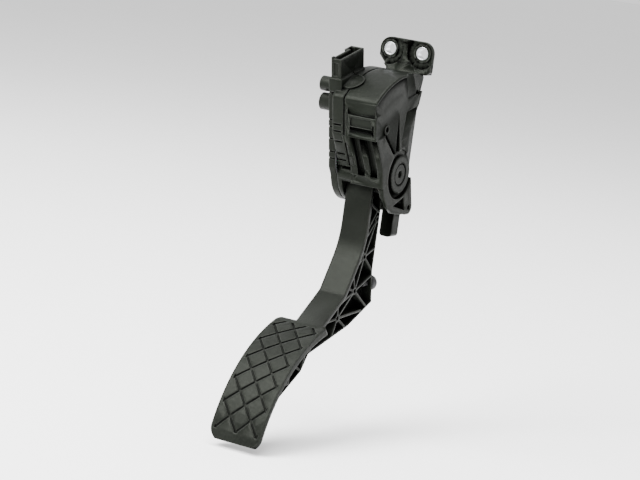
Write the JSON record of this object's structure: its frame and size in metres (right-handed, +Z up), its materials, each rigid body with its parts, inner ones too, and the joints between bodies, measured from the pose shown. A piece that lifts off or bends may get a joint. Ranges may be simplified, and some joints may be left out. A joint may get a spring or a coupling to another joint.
{
  "type": "accelerator pedal",
  "caption": "Hanging accelerator pedal: a ribbed arm and grooved foot pad on a sprung pivot in a two-bolt bearing housing with a contactless angle sensor.",
  "frame": {"origin": "midway between the two bolt holes, on the rear face that rests on the bulkhead", "axes": "+Y along the bolts into the bulkhead, +Z up along the bulkhead, +X to the right as the driver sees it"},
  "size_m": [0.0478, 0.1465, 0.2393],
  "materials": {
    "housing_plastic": "fine-grained black moulding",
    "arm_plastic": "satin black glass-filled moulding",
    "seal_rubber": "black rubber",
    "board_laminate": "green laminate",
    "chip_plastic": "moulded chip body",
    "contact_metal": "plated contact",
    "bearing_plastic": "natural bearing plastic",
    "magnet": "bonded magnet",
    "spring_steel": "drawn wire",
    "sleeve_steel": "zinc-plated steel"
  },
  "bodies": {
    "bracket": {"housing": "housing_plastic", "sensor_carrier": "housing_plastic", "sensor_cover": "housing_plastic", "cover_gasket": "seal_rubber", "circuit_board": "board_laminate", "sensor_chip": "chip_plastic", "terminal_1": "contact_metal", "terminal_2": "contact_metal", "terminal_3": "contact_metal", "terminal_4": "contact_metal", "terminal_5": "contact_metal", "terminal_6": "contact_metal", "bush_left": "bearing_plastic", "bush_right": "bearing_plastic", "friction_washer": "bearing_plastic", "spring_seat": "bearing_plastic", "outer_spring": "spring_steel", "inner_spring": "spring_steel", "sleeve_left": "sleeve_steel", "sleeve_right": "sleeve_steel", "cover_screws": "sleeve_steel"},
    "pedal": {"pedal_arm": "arm_plastic", "pivot_shaft": "arm_plastic", "sensor_rotor": "bearing_plastic", "rotor_magnet": "magnet", "stop_buffer": "seal_rubber", "spring_saddle": "bearing_plastic"}
  },
  "joints": [
    {"name": "pedal_pivot", "type": "hinge", "parent": "bracket", "child": "pedal", "pos_m": [0, -0.024, -0.074], "axis": [1, 0, 0], "range_deg": [0, 15], "stiffness_Nm_per_rad": 10, "springref_deg": -19.48, "deforming": ["outer_spring", "inner_spring"]}
  ]
}
